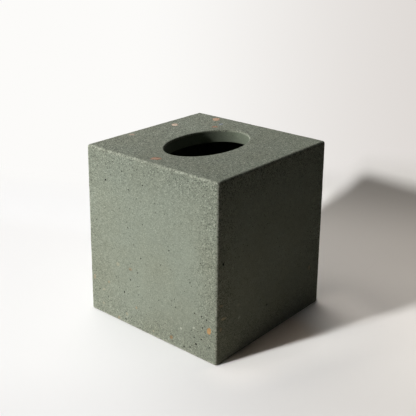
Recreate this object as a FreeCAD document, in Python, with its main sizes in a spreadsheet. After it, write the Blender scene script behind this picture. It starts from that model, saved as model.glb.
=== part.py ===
import FreeCAD, Part
import os

import Sketcher
from FreeCAD import Vector

# A cover that stands over a cube-shaped box of tissues: one hollow casting in tinted cement, open
# underneath, with an oval mouth in its top. Stone chips are bedded flush in its faces, and four small
# cork feet sit in sockets under its rim. +X and +Y run along the sides, +Z is up, z = 0 is the floor.

# Sizes of the casting and its feet, in millimetres and degrees.
SIZES = (
    ("outer_width", 135.0, "outside of the rim along X"),
    ("outer_depth", 135.0, "outside of the rim along Y"),
    ("overall_height", 142.3, "floor to top face"),
    ("draft_angle", 0.55, "inward lean of the walls, so that the casting leaves its mould"),
    ("wall", 9.0, "thickness of the four sides"),
    ("ceiling", 10.5, "thickness of the top"),
    ("mouth_width", 52.7, "short axis of the oval mouth, along X"),
    ("mouth_length", 82.6, "long axis of the oval mouth, along Y"),
    ("arris_radius", 2.0, "rounding of the outer edges"),
    ("mouth_arris", 0.9, "rounding of the mouth's upper and lower edges"),
    ("rim_arris", 0.6, "rounding of the rim's outer and inner edges"),
    ("cavity_corner", 4.0, "rounding of the upright corners inside"),
    ("cavity_cove", 3.0, "rounding between the walls and the ceiling inside"),
    ("foot_diameter", 8.0, "cork foot"),
    ("foot_thickness", 1.8, "cork foot"),
    ("foot_proud", 0.3, "how far a foot stands below the rim"),
    ("foot_clearance", 0.2, "gap round a foot in its socket"),
    ("chip_depth", 2.4, "how deep a stone chip is bedded"),
    ("chip_taper", 10.0, "lean of a chip's flanks, narrower inwards"),
)

# Broken-stone outlines in a square from -1 to 1, stretched to each chip's length and width.
OUTLINES = {
    "shard": ((-1, -0.2), (-0.35, -1), (0.6, -0.75), (1, 0.1), (0.3, 1), (-0.7, 0.65)),
    "wedge": ((-1, -0.7), (0.2, -1), (1, -0.15), (0.35, 0.9), (-0.5, 1)),
    "sliver": ((-1, 0.1), (-0.4, -1), (0.7, -0.8), (1, 0.3), (-0.1, 1)),
    "nugget": ((-1, 0.15), (-0.7, -0.75), (0.15, -1), (0.9, -0.6), (1, 0.35), (0.35, 1), (-0.55, 0.85)),
}

# Chips in the top: stone, bearing of the chip from +X round the mouth, its share of the way across the
# land from the mouth (0) to the outer edge (1), length, width, turn of its length from +X, outline.
TOP_CHIPS = (
    ("pale", 202.3, 0.92, 4.8, 4.2, 40, "nugget"),
    ("pale", 159.2, 0.78, 8.0, 6.0, 128, "shard"),
    ("terracotta", 124.5, 0.89, 10.5, 6.8, 125, "shard"),
    ("terracotta", 123.1, 0.21, 6.0, 5.2, 30, "wedge"),
    ("slate", 118.8, 0.48, 6.0, 3.8, 115, "nugget"),
    ("terracotta", 268.7, 0.72, 9.4, 6.0, 35, "wedge"),
)

# Chips in the four sides, as the side is seen from outside: stone, share along the side from its middle
# (0) to its right (1) or left (-1) edge, share of the height, length, width, turn, outline.
SIDE_CHIPS = {
    "front": (
        ("terracotta", 0.97, 0.17, 6.0, 4.0, 75, "nugget"),
        ("terracotta", 0.36, 0.03, 4.0, 3.2, 50, "shard"),
        ("tan", -0.55, 0.35, 4.0, 3.4, 20, "nugget"),
        ("terracotta", -0.33, 0.35, 4.6, 2.6, 10, "sliver"),
        ("terracotta", -1.00, 0.20, 5.0, 2.6, 80, "shard"),
        ("tan", -0.83, 0.14, 4.5, 1.8, 15, "sliver"),
        ("tan", -0.83, 0.05, 3.2, 2.2, 5, "wedge"),
        ("tan", -0.40, 0.05, 3.2, 2.8, 60, "wedge"),
        ("terracotta", -0.23, 0.12, 2.6, 2.2, 90, "nugget"),
        ("terracotta", -0.55, 0.00, 3.6, 2.6, 25, "wedge"),
        ("tan", 0.06, 0.02, 2.6, 2.2, 70, "shard"),
        ("pale", 0.51, 0.12, 2.2, 2.0, 0, "nugget"),
        ("pale", 0.71, 0.16, 2.2, 1.8, 45, "nugget"),
        ("terracotta", -0.72, 0.21, 2.8, 2.0, 30, "wedge"),
    ),
    "right": (
        ("tan", -0.96, 0.24, 7.0, 2.4, -10, "sliver"),
        ("terracotta", -0.98, 0.19, 3.2, 2.4, 70, "shard"),
        ("terracotta", 0.82, 0.25, 4.0, 3.4, 100, "nugget"),
        ("terracotta", -0.99, 0.33, 5.0, 2.0, -15, "sliver"),
        ("pale", -0.64, 0.20, 2.6, 2.2, 30, "nugget"),
        ("tan", -0.66, 0.28, 3.0, 2.0, 10, "wedge"),
    ),
    "back": (
        ("terracotta", -0.72, 0.14, 6.5, 4.2, 60, "wedge"),
        ("tan", -0.30, 0.07, 3.6, 2.8, 20, "nugget"),
        ("pale", 0.16, 0.22, 2.6, 2.2, 45, "nugget"),
        ("terracotta", 0.45, 0.04, 4.2, 3.0, 110, "shard"),
        ("terracotta", 0.87, 0.31, 5.0, 3.0, 75, "sliver"),
        ("tan", 0.62, 0.12, 3.0, 2.4, 0, "wedge"),
        ("slate", -0.50, 0.36, 3.4, 2.8, 35, "shard"),
        ("terracotta", -0.05, 0.58, 2.8, 2.2, 20, "nugget"),
    ),
    "left": (
        ("terracotta", 0.66, 0.09, 5.6, 3.8, 30, "shard"),
        ("tan", 0.92, 0.24, 3.8, 2.6, 85, "nugget"),
        ("terracotta", 0.20, 0.05, 3.2, 2.6, 40, "wedge"),
        ("pale", -0.18, 0.17, 2.8, 2.2, 15, "nugget"),
        ("terracotta", -0.56, 0.02, 4.4, 3.0, 5, "sliver"),
        ("tan", -0.86, 0.11, 3.0, 2.6, 60, "wedge"),
        ("terracotta", -0.38, 0.40, 3.6, 2.4, 120, "shard"),
        ("tan", 0.40, 0.52, 2.6, 2.0, 75, "wedge"),
    ),
}

# How far each side is turned about +Z from the front, which faces -Y, and the sizes that set how far
# out the side stands and how broad it is.
SIDES = {
    "front": (0, "outer_depth", "outer_width"),
    "right": (90, "outer_width", "outer_depth"),
    "back": (180, "outer_depth", "outer_width"),
    "left": (270, "outer_width", "outer_depth"),
}

# The rim's corners: which way each lies from the middle along X and Y.
CORNERS = {
    "front_left": (-1, -1),
    "front_right": (1, -1),
    "back_right": (1, 1),
    "back_left": (-1, 1),
}

# Height of the rim, and the middle of the thickest spot in a corner of the rim, as far from the two
# outer faces as from the rounded corner of the cavity.
RIM_LEVEL = "Sizes.foot_proud"
FOOT_INSET = "((Sizes.wall + Sizes.cavity_corner) * sqrt(2) - Sizes.cavity_corner) / (1 + sqrt(2))"

SAME_PLACE = 1e-4


def make_sheet(doc, name, rows):
    """Write named numbers to a sheet: the name, the value that carries the alias, and a note."""
    sheet = doc.addObject("Spreadsheet::Sheet", name)
    for line, (alias, value, note) in enumerate(rows, start=1):
        sheet.set(f"A{line}", alias)
        sheet.set(f"B{line}", f"{value:g}")
        sheet.setAlias(f"B{line}", alias)
        sheet.set(f"C{line}", note)
    return sheet


def level_sketch(body, name, level):
    """An empty sketch parallel to the floor, at a height given by an expression."""
    sketch = body.newObject("Sketcher::SketchObject", name)
    plane = next(item for item in body.Origin.OriginFeatures if item.Role == "XY_Plane")
    sketch.AttachmentSupport = (plane, [""])
    sketch.MapMode = "FlatFace"
    sketch.setExpression("AttachmentOffset.Base.z", level)
    return sketch


def bind(sketch, constraint, expression):
    """Add a dimension to a sketch and tie it to an expression."""
    index = sketch.addConstraint(constraint)
    sketch.setExpression(f"Constraints[{index}]", expression)


def draw_polygon(sketch, corners):
    """Draw a closed outline through corners, each given as two expressions from the origin."""
    count = len(corners)
    rough = [Vector(x, y, 0) for x, y, _, _ in corners]
    for index in range(count):
        sketch.addGeometry(Part.LineSegment(rough[index], rough[(index + 1) % count]), False)
    for index, (x, y, across, along) in enumerate(corners):
        line_before = (index - 1) % count
        sketch.addConstraint(Sketcher.Constraint("Coincident", line_before, 2, index, 1))
        bind(sketch, Sketcher.Constraint("DistanceX", -1, 1, index, 1, x), across)
        bind(sketch, Sketcher.Constraint("DistanceY", -1, 1, index, 1, y), along)


def draw_rectangle(sketch, half_width, half_depth):
    """Draw a rectangle about the origin."""
    corners = [(sx, sy, f"{sx} * ({half_width})", f"{sy} * ({half_depth})") for sx, sy in CORNERS.values()]
    draw_polygon(sketch, corners)


def draw_oval(sketch, width, length):
    """Draw an ellipse about the origin, with its long axis along Y."""
    start_half_length, start_half_width = 2.0, 1.0
    end, side, middle = Vector(0, start_half_length, 0), Vector(start_half_width, 0, 0), Vector(0, 0, 0)
    oval = sketch.addGeometry(Part.Ellipse(end, side, middle), False)
    sketch.exposeInternalGeometry(oval)
    long_axis, short_axis = oval + 1, oval + 2
    sketch.addConstraint(Sketcher.Constraint("Coincident", oval, 3, -1, 1))
    sketch.addConstraint(Sketcher.Constraint("Vertical", long_axis))
    bind(sketch, Sketcher.Constraint("Distance", long_axis, 2 * start_half_length), length)
    bind(sketch, Sketcher.Constraint("Distance", short_axis, 2 * start_half_width), width)


def round_edges(body, name, wanted, radius):
    """Round the edges of the body's last feature that pass a test."""
    body.Document.recompute()
    feature = body.Tip
    picked = [f"Edge{n}" for n, edge in enumerate(feature.Shape.Edges, start=1) if wanted(edge)]
    fillet = body.newObject("PartDesign::Fillet", name)
    fillet.Base = (feature, picked)
    fillet.setExpression("Radius", radius)
    body.Document.recompute()


def lean_flanks(body, name, level, angle, pulled_up):
    """Lean all upright flat faces by a draft angle from where they meet a level, so that they show from
    above when pulled up and from below when not."""
    body.Document.recompute()
    feature = body.Tip
    faces = {f"Face{n}": face for n, face in enumerate(feature.Shape.Faces, start=1)}
    draft = body.newObject("PartDesign::Draft", name)
    draft.Base = (feature, [label for label, face in faces.items() if is_upright(face)])
    draft.NeutralPlane = (feature, [next(label for label, face in faces.items() if lies_at(face, level))])
    draft.Reversed = not pulled_up
    draft.setExpression("Angle", angle)
    body.Document.recompute()


def cut(body, name, sketch, depth, upwards=False):
    """Cut a pocket and make sure that it took something away."""
    body.Document.recompute()
    before = body.Shape.Volume
    pocket = body.newObject("PartDesign::Pocket", name)
    pocket.Profile = sketch
    pocket.Reversed = upwards
    pocket.setExpression("Length", depth)
    body.Document.recompute()
    if body.Shape.Volume >= before:
        raise RuntimeError(f"{name} cuts nothing")


def lies_at(shape, level):
    """Whether a whole edge or face lies at one height."""
    box = shape.BoundBox
    return abs(box.ZMin - level) < SAME_PLACE and abs(box.ZMax - level) < SAME_PLACE


def is_upright(face):
    """Whether a face is flat and stands square to the sketches' plane."""
    return isinstance(face.Surface, Part.Plane) and abs(face.Surface.Axis.z) < SAME_PLACE


def foot_spot(side_x, side_y):
    """The middle of a foot, as two expressions."""
    across = f"{side_x} * (Sizes.outer_width / 2 - {FOOT_INSET})"
    along = f"{side_y} * (Sizes.outer_depth / 2 - {FOOT_INSET})"
    return across, along


def draw_sockets(sketch):
    """Draw the four round sockets under the corners of the rim."""
    start_radius, start_reach = 1.0, 4.0
    upright = Vector(0, 0, 1)
    for side_x, side_y in CORNERS.values():
        x, y = start_reach * side_x, start_reach * side_y
        ring = sketch.addGeometry(Part.Circle(Vector(x, y, 0), upright, start_radius), False)
        across, along = foot_spot(side_x, side_y)
        radius = "Sizes.foot_diameter / 2 + Sizes.foot_clearance"
        bind(sketch, Sketcher.Constraint("Radius", ring, start_radius), radius)
        bind(sketch, Sketcher.Constraint("DistanceX", -1, 1, ring, 3, x), across)
        bind(sketch, Sketcher.Constraint("DistanceY", -1, 1, ring, 3, y), along)


def make_casting(doc, sheet):
    """The cement casting before the chips' beds are cut: block, cavity, mouth, edges and sockets."""
    body = doc.addObject("PartDesign::Body", "casting")
    rim = sheet.foot_proud
    top = sheet.overall_height
    underside = top - sheet.ceiling

    outline = level_sketch(body, "block_outline", RIM_LEVEL)
    draw_rectangle(outline, "Sizes.outer_width / 2", "Sizes.outer_depth / 2")
    block = body.newObject("PartDesign::Pad", "block")
    block.Profile = outline
    block.setExpression("Length", f"Sizes.overall_height - {RIM_LEVEL}")
    lean_flanks(body, "outside_draft", rim, "Sizes.draft_angle", pulled_up=True)
    round_edges(body, "arrises", lambda edge: not lies_at(edge, rim), "Sizes.arris_radius")

    hollow = level_sketch(body, "cavity_outline", RIM_LEVEL)
    draw_rectangle(hollow, "Sizes.outer_width / 2 - Sizes.wall", "Sizes.outer_depth / 2 - Sizes.wall")
    cavity_height = f"Sizes.overall_height - {RIM_LEVEL} - Sizes.ceiling"
    cut(body, "cavity", hollow, cavity_height, upwards=True)
    lean_flanks(body, "cavity_draft", rim, "Sizes.draft_angle", pulled_up=False)

    inside_x = sheet.outer_width / 2 - sheet.wall / 2
    inside_y = sheet.outer_depth / 2 - sheet.wall / 2

    def is_cavity_corner(edge):
        middle = edge.CenterOfMass
        upright = edge.BoundBox.ZLength > (top - rim) / 2
        return upright and abs(middle.x) < inside_x and abs(middle.y) < inside_y

    round_edges(body, "cavity_corners", is_cavity_corner, "Sizes.cavity_corner")
    round_edges(body, "cavity_coves", lambda edge: lies_at(edge, underside), "Sizes.cavity_cove")

    oval = level_sketch(body, "mouth_outline", "Sizes.overall_height")
    draw_oval(oval, "Sizes.mouth_width", "Sizes.mouth_length")
    cut(body, "mouth", oval, "Sizes.ceiling")
    round_edges(body, "mouth_arrises", lambda edge: edge.isClosed(), "Sizes.mouth_arris")
    round_edges(body, "rim_arrises", lambda edge: lies_at(edge, rim), "Sizes.rim_arris")

    sockets = level_sketch(body, "socket_outlines", RIM_LEVEL)
    draw_sockets(sockets)
    cut(body, "foot_sockets", sockets, "Sizes.foot_thickness - Sizes.foot_proud", upwards=True)
    return body


def make_foot(doc, corner, side_x, side_y):
    """A cork disc that fills its socket under one corner of the rim and stands on the floor."""
    foot = doc.addObject("Part::Cylinder", f"foot_{corner}")
    foot.setExpression("Radius", "Sizes.foot_diameter / 2")
    foot.setExpression("Height", "Sizes.foot_thickness")
    across, along = foot_spot(side_x, side_y)
    foot.setExpression("Placement.Base.x", across)
    foot.setExpression("Placement.Base.y", along)
    return foot


def make_chip(doc, name, outline, place):
    """A stone chip whose ground face is flush with the casting and whose flanks narrow inwards."""
    chip = doc.addObject("PartDesign::Body", name)
    sketch = level_sketch(chip, f"{name}_outline", "0")
    corners = [
        (x, y, f"Chips.{name}_length / 2 * {x}", f"Chips.{name}_width / 2 * {y}")
        for x, y in OUTLINES[outline]
    ]
    draw_polygon(sketch, corners)
    bed = chip.newObject("PartDesign::Pad", f"{name}_bed")
    bed.Profile = sketch
    bed.Reversed = True
    bed.setExpression("Length", "Sizes.chip_depth")
    lean_flanks(chip, f"{name}_flanks", 0, "Sizes.chip_taper", pulled_up=False)
    chip.setExpression("Placement", place)
    return chip


def top_place(name):
    """Where a chip lies in the top: on the land between the mouth and the outer edges."""
    bearing = f"Chips.{name}_bearing"
    margin = f"Chips.{name}_length / 2"
    lean_in = f"(Sizes.overall_height - {RIM_LEVEL}) * tan(Sizes.draft_angle)"
    mouth_reach = (
        "Sizes.mouth_width * Sizes.mouth_length / 2 / sqrt("
        f"(Sizes.mouth_length * cos({bearing}))^2 + (Sizes.mouth_width * sin({bearing}))^2)"
    )
    edge_reach = (
        f"1 / max(abs(cos({bearing})) / (Sizes.outer_width / 2 - {lean_in}); "
        f"abs(sin({bearing})) / (Sizes.outer_depth / 2 - {lean_in}))"
    )
    near = f"({mouth_reach} + Sizes.mouth_arris + {margin})"
    far = f"({edge_reach} - Sizes.arris_radius - {margin})"
    reach = f"({near} + Chips.{name}_land * ({far} - {near}))"
    spot = f"vector({reach} * cos({bearing}); {reach} * sin({bearing}); Sizes.overall_height)"
    return f"placement({spot}; rotation(vector(0; 0; 1); Chips.{name}_turn))"


def side_place(name, side):
    """Where a chip lies in a side: on the flat that leans in by the draft, inside the rounded edges."""
    azimuth, reach_size, breadth_size = SIDES[side]
    length = f"Chips.{name}_length"
    rise = f"(Sizes.overall_height - {RIM_LEVEL} - Sizes.rim_arris - Sizes.arris_radius - {length})"
    height = f"(Sizes.rim_arris + {length} / 2 + Chips.{name}_up * {rise})"
    lean_in = f"{height} * tan(Sizes.draft_angle)"
    span = f"(Sizes.{breadth_size} / 2 - {lean_in} - Sizes.arris_radius - {length} / 2)"
    spot = (
        f"vector(Chips.{name}_along * {span}; {lean_in} - Sizes.{reach_size} / 2; {height} + {RIM_LEVEL})"
    )
    lean = "rotation(vector(1; 0; 0); 90 - Sizes.draft_angle)"
    turn = f"rotation(vector(0; 0; 1); Chips.{name}_turn)"
    round_the_cover = f"placement(vector(0; 0; 0); rotation(vector(0; 0; 1); {azimuth}))"
    return f"{round_the_cover} * placement({spot}; {lean} * {turn})"


def chip_plan():
    """Every chip as its name, the face it lies in, its outline and its named numbers."""
    chips = []
    counts = {}
    faces = [("top", TOP_CHIPS, ("bearing", "land"))]
    faces += [(side, rows, ("along", "up")) for side, rows in SIDE_CHIPS.items()]
    for face, rows, places in faces:
        for stone, first, second, length, width, turn, outline in rows:
            counts[face, stone] = counts.get((face, stone), 0) + 1
            name = f"{face}_{stone}_chip_{counts[face, stone]}"
            numbers = zip((*places, "length", "width", "turn"), (first, second, length, width, turn))
            cells = [(f"{name}_{word}", value, f"{stone} chip in the {face}") for word, value in numbers]
            chips.append((name, face, outline, cells))
    return chips


def check(doc, parts):
    """Stop if any object failed, or if a part has no single valid solid."""
    for item in doc.Objects:
        if "Invalid" in item.State or "Error" in item.State:
            raise RuntimeError(f"{item.Label} failed: {item.State}")
    for part in parts:
        if part.Shape.isNull() or not part.Shape.isValid() or len(part.Shape.Solids) != 1:
            raise RuntimeError(f"{part.Label} is no single valid solid")


def main():
    doc = FreeCAD.newDocument("tissue_box_cover")
    sheet = make_sheet(doc, "Sizes", SIZES)
    chips = chip_plan()
    make_sheet(doc, "Chips", [cell for *_, cells in chips for cell in cells])
    doc.recompute()

    casting = make_casting(doc, sheet)
    feet = [make_foot(doc, corner, *sides) for corner, sides in CORNERS.items()]
    stones = []
    for name, face, outline, _ in chips:
        place = top_place(name) if face == "top" else side_place(name, face)
        stones.append(make_chip(doc, name, outline, place))

    all_stones = doc.addObject("Part::Compound", "chip_beds")
    all_stones.Links = stones
    cover = doc.addObject("Part::Cut", "cast_cover")
    cover.Base = casting
    cover.Tool = all_stones
    doc.recompute()

    parts = [cover, *feet, *stones]
    check(doc, parts)
    os.makedirs("parts", exist_ok=True)
    for part in parts:
        part.Shape.exportStep(os.path.join("parts", f"{part.Label}.step"))
    print(f"{len(parts)} parts, casting of {cover.Shape.Volume / 1000:.1f} cubic centimetres")


main()
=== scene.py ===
import math
import random
from contextlib import contextmanager

import bmesh
import bpy
from bpy.props import FloatProperty, FloatVectorProperty, IntProperty, PointerProperty
from mathutils import Matrix, Vector, noise


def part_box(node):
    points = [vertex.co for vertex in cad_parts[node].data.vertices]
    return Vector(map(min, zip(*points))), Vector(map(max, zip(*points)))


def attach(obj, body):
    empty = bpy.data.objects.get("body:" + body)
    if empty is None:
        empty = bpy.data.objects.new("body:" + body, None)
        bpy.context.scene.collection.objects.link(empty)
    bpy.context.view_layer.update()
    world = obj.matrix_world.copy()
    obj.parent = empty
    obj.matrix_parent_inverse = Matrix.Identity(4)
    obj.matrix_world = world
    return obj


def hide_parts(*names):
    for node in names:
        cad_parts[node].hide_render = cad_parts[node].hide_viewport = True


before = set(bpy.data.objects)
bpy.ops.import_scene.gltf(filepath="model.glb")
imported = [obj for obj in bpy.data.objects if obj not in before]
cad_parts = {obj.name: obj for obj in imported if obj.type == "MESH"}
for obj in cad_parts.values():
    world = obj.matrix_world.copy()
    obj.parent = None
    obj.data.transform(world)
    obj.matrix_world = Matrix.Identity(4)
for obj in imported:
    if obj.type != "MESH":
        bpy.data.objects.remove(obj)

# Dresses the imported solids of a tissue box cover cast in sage-green cement: a worn casting with air pits,
# broken stone chips ground flush with it, cork feet, and the studio it stands in.

bl_info = {
    "name": "Cast tissue box cover",
    "version": (1, 0, 0),
    "blender": (4, 5, 0),
    "location": "3D View > Sidebar > Cover",
    "description": "Models and finishes a cement tissue box cover with stone chips around its packed solids",
    "category": "Object",
}

BODY = "root"
CASTING = "cast_cover"
CHIP_NODES = sorted(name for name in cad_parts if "_chip_" in name)
FOOT_NODES = sorted(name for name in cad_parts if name.startswith("foot_"))
CASTING_LOW, CASTING_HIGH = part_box(CASTING)

MM = 0.001
UP = Vector((0, 0, 1))

# When two points count as one, two faces as one plane, and two directions as the same or roughly so.
SAME_PLACE = 1e-6
FLAT_ANGLE = math.radians(1)
SAME_WAY = 0.99
ROUGHLY = 0.9

# How far a cutter reaches past the surface that it opens.
SPARE = 1 * MM

# Seeds of the random draws.
CHIP_SEED, PIT_SEED, NICK_SEED = 12, 31, 77

# How finely the rounded edges are divided along their length, and how far from a corner its wear reaches.
EDGE_CUTS = 110
CORNER_WEAR = 10 * MM

# The share of the rounding that an edge usually has and that a corner adds, and the height of the slow and
# the quick waves along it with their number per metre.
USUAL_WEAR, ADDED_AT_CORNER = 0.95, 0.3
SLOW_WEAR, SLOW_WAVES = 0.24, 70
QUICK_WEAR, QUICK_WAVES = 0.18, 420

# The clear cement between a pit and the outer edges, a pit and a chip, two pits, and a nick and all else.
PIT_MARGIN = 3 * MM
PIT_TO_CHIP = 0.6 * MM
PIT_TO_PIT = 0.5 * MM
NICK_GAP = 2.5 * MM

# How far a pit's middle lies below the face, as a share of its radius, how much more the scattered pits keep
# to the lower part of a side, and the most that a pit is spun, in radians.
SEEN_PIT_SINK = 0.4
LEAST_PIT_SINK, MOST_PIT_SINK = -0.2, 0.5
PITS_LOW_DOWN = 1.35
PIT_SPIN = 6.28

# How deep the chips are bedded.
BED_DEPTH = 2.45 * MM

# A chip in a side that is longer than this was ground bare. Cement still films the smaller ones.
BARE_CHIP = 5.8 * MM
BARE_FILM = 0.12
FULL_FILM = 0.7

# Stones that look paler in the sides than in the top, because cement has dried into them.
SIDE_STONES = {"terracotta": "ochre", "pale": "chalk"}

# What lightens the flecks and the pale grains of every stone.
STONE_DUST = (0.8, 0.74, 0.62)

# Single chips, all ground bare, whose stone differs in colour from the others of its kind.
ODD_STONES = {
    "top_pale_chip_1": "dusky",
    "top_terracotta_chip_1": "salmon",
    "front_terracotta_chip_2": "umber",
}

# What the sand grains tell a material.
GRAIN_OUTPUTS = ("Pale", "Dark", "Tone", "Height")

# Where the main light comes from: its azimuth from the front, its elevation and its width, in degrees.
KEY_AZIMUTH, KEY_ELEVATION, KEY_SPREAD = -20.8, 24.1, 5

# How far the studio's wall is turned from the front.
SWEEP_TURN = math.radians(23.4)

# The ways over the floor to the right of the photograph and towards its viewer.
TO_THE_RIGHT = (0.763, 0.647, 0.0)
TO_THE_VIEWER = (0.647, -0.763, 0.0)

BLACK = (0, 0, 0, 1)
WHITE = (1, 1, 1, 1)

# The four sides as seen from outside: the way along the side, to its right, and the way out of it.
SIDES = {
    "front": (Vector((1, 0, 0)), Vector((0, -1, 0))),
    "right": (Vector((0, 1, 0)), Vector((1, 0, 0))),
    "back": (Vector((-1, 0, 0)), Vector((0, 1, 0))),
    "left": (Vector((0, -1, 0)), Vector((-1, 0, 0))),
}

# The corners, going round: which way each lies from the middle along X and Y.
CORNERS = (Vector((1, 1)), Vector((-1, 1)), Vector((-1, -1)), Vector((1, -1)))

# Air pits that the photograph shows, in millimetres: along the side from its middle, height, radius.
SEEN_PITS = {
    "front": (
        (36, 4, 1.0), (48, 11, 1.2), (-27, 4, 0.85), (-46, 118, 0.9), (-21, 5, 0.7), (-28, 28, 0.95),
        (-58, 82, 0.7), (53, 36, 0.65), (54, 27, 0.65), (42, 6, 0.6), (-6, 123, 0.75), (-9, 63, 0.65),
        (58, 35, 0.75), (-21, 41, 0.7), (46, 16, 0.7), (-21, 116, 0.65), (53, 17, 0.7), (10, 34, 0.5),
    ),
    "right": ((-60, 80, 1.3), (-6, 26, 1.1)),
}


def length_setting(name, description, millimetres):
    """A length that shows in the sidebar."""
    return FloatProperty(
        name=name, description=description, default=millimetres * MM, min=0, precision=5, unit="LENGTH"
    )


def colour_setting(name, description, red, green, blue):
    """A colour that shows in the sidebar, given as screen values from 0 to 255."""
    linear = [linear_value(channel / 255) for channel in (red, green, blue)]
    return FloatVectorProperty(
        name=name, description=description, default=linear, subtype="COLOR", min=0, max=1
    )


def linear_value(screen):
    """A screen value as the linear value that shaders use."""
    return screen / 12.92 if screen <= 0.04045 else ((screen + 0.055) / 1.055) ** 2.4


class CoverShape(bpy.types.PropertyGroup):
    """Sizes of the casting."""

    width: length_setting("Rim width", "Outside of the rim along X, before its edge is rounded", 135)
    depth: length_setting("Rim depth", "Outside of the rim along Y, before its edge is rounded", 135)
    draft: FloatProperty(
        name="Draft", description="Inward lean of the walls", default=math.radians(0.55), subtype="ANGLE"
    )
    wall: length_setting("Wall", "Thickness of the four sides", 9)
    ceiling: length_setting("Ceiling", "Thickness of the top", 10.5)
    mouth_width: length_setting("Mouth width", "Short axis of the oval mouth, along X", 52.7)
    mouth_length: length_setting("Mouth length", "Long axis of the oval mouth, along Y", 82.6)
    arris: length_setting("Arris", "Largest rounding of the outer edges", 2.0)
    lip: length_setting("Lip", "Rounding of the mouth's edges", 0.9)
    rim_arris: length_setting("Rim arris", "Rounding of the rim's edges", 0.6)
    corner: length_setting("Cavity corner", "Rounding of the upright corners inside", 4)
    cove: length_setting("Cavity cove", "Rounding under the ceiling inside", 3)
    socket_slack: length_setting("Socket slack", "Gap round a foot in its socket", 0.2)
    sharpest: FloatProperty(
        name="Sharpest edge",
        description="Smallest share of the arris that wear leaves",
        default=0.5,
        min=0.1,
        max=1,
    )
    pits: IntProperty(name="Air pits", description="Small pits scattered over each face", default=95, min=0)
    nicks: IntProperty(name="Nicks", description="Small bites out of each outer edge", default=9, min=0)
    raggedness: FloatProperty(
        name="Ragged chips",
        description="How far a chip's broken edge wanders, as a share of its steps",
        default=0.3,
    )


class CoverColours(bpy.types.PropertyGroup):
    """Colours of the cement, the stones, the cork and the studio."""

    cement: colour_setting("Cement", "Sage-green cement", 140, 147, 133)
    cement_grey: colour_setting("Greyed cement", "Cloudy patches that are greyer", 135, 139, 122)
    # Smooth as-cast skin, made darker partly as painted shade of the dim mouth and cavity.
    cement_cast: colour_setting("As-cast cement", "Smooth skin in the mouth and the cavity", 105, 112, 97)
    light_sand: colour_setting("Light sand", "Pale grains in the cement", 196, 199, 182)
    dark_sand: colour_setting("Dark sand", "Dark grains in the cement", 66, 70, 60)
    # Painted shade in the air pits and inside the cavity.
    pit_shade_colour: colour_setting("Pit dust", "Dust in the air pits", 48, 51, 43)
    terracotta: colour_setting("Terracotta", "Orange-brown stone", 142, 94, 48)
    salmon: colour_setting("Salmon", "Pinkish stone in the top", 190, 148, 112)
    ochre: colour_setting("Ochre", "Paler terracotta in the sides", 188, 146, 94)
    umber: colour_setting("Umber", "Darkest terracotta in the sides", 146, 116, 78)
    tan: colour_setting("Tan", "Sandy stone", 194, 182, 148)
    pale: colour_setting("Pale", "Pale stone", 214, 184, 154)
    dusky: colour_setting("Dusky", "Deeper pale stone in the top", 180, 155, 129)
    chalk: colour_setting("Chalk", "Pale stone in the sides", 222, 224, 204)
    slate: colour_setting("Slate", "Blue-grey stone", 96, 108, 112)
    cork: colour_setting("Cork", "Pressed cork of the feet", 168, 122, 80)
    floor: colour_setting("Floor", "Pale studio floor", 235, 237, 239)
    # Painted shade: the floor is mixed towards this colour to the right, where the light falls off.
    far_floor: colour_setting("Far floor", "Studio floor where it darkens", 226, 223, 218)
    backdrop: colour_setting("Backdrop", "Studio wall where it is white", 252, 251, 249)
    # Painted shade: the wall is mixed towards this colour to the right, where the light falls off.
    far_backdrop: colour_setting("Far backdrop", "Studio wall where it darkens", 222, 217, 213)


def shape_of(context):
    return context.scene.cover_shape


def colours_of(context):
    return context.scene.cover_colours


# Selecting and editing


def clear_selection():
    """Leave edit mode and deselect everything."""
    if bpy.context.object and bpy.context.object.mode != "OBJECT":
        bpy.ops.object.mode_set(mode="OBJECT")
    bpy.ops.object.select_all(action="DESELECT")


def make_active(piece):
    """Select one object alone."""
    clear_selection()
    piece.select_set(True)
    bpy.context.view_layer.objects.active = piece


@contextmanager
def editing(piece, select_mode="EDGE"):
    """Edit one mesh, with nothing of it selected at first."""
    make_active(piece)
    bpy.ops.object.mode_set(mode="EDIT")
    bpy.ops.mesh.select_mode(type=select_mode)
    bpy.ops.mesh.select_all(action="DESELECT")
    yield
    bpy.ops.object.mode_set(mode="OBJECT")


def pick(piece, kind, wanted):
    """Select the vertices, edges or faces of the edited mesh that pass a test, and only those."""
    bpy.ops.mesh.select_all(action="DESELECT")
    mesh = bmesh.from_edit_mesh(piece.data)
    picked = [item for item in getattr(mesh, kind) if wanted(item)]
    if not picked:
        raise RuntimeError(f"nothing to select on {piece.name}")
    for item in picked:
        item.select_set(True)
    bmesh.update_edit_mesh(piece.data)


def extrude(way):
    """Extrude what is selected in the edited mesh."""
    bpy.ops.mesh.extrude_region_move(TRANSFORM_OT_translate={"value": way})


def face_outwards():
    """Turn all the faces of the edited mesh outwards."""
    bpy.ops.mesh.select_all(action="SELECT")
    bpy.ops.mesh.normals_make_consistent(inside=False)


def added(name):
    """The primitive that was just added, named, with its place and size moved into its mesh."""
    piece = bpy.context.object
    piece.name = piece.data.name = name
    bpy.ops.object.transform_apply(location=True, rotation=True, scale=True)
    return piece


def twin(piece):
    """A copy of an object, with a mesh of its own."""
    copy = piece.copy()
    copy.data = piece.data.copy()
    bpy.context.collection.objects.link(copy)
    return copy


def joined(pieces, name):
    """Several meshes as one."""
    clear_selection()
    for piece in pieces:
        piece.select_set(True)
    bpy.context.view_layer.objects.active = pieces[0]
    bpy.ops.object.join()
    pieces[0].name = name
    return pieces[0]


def discard(piece):
    """Remove an object and its mesh."""
    mesh = piece.data
    bpy.data.objects.remove(piece)
    bpy.data.meshes.remove(mesh)


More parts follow.
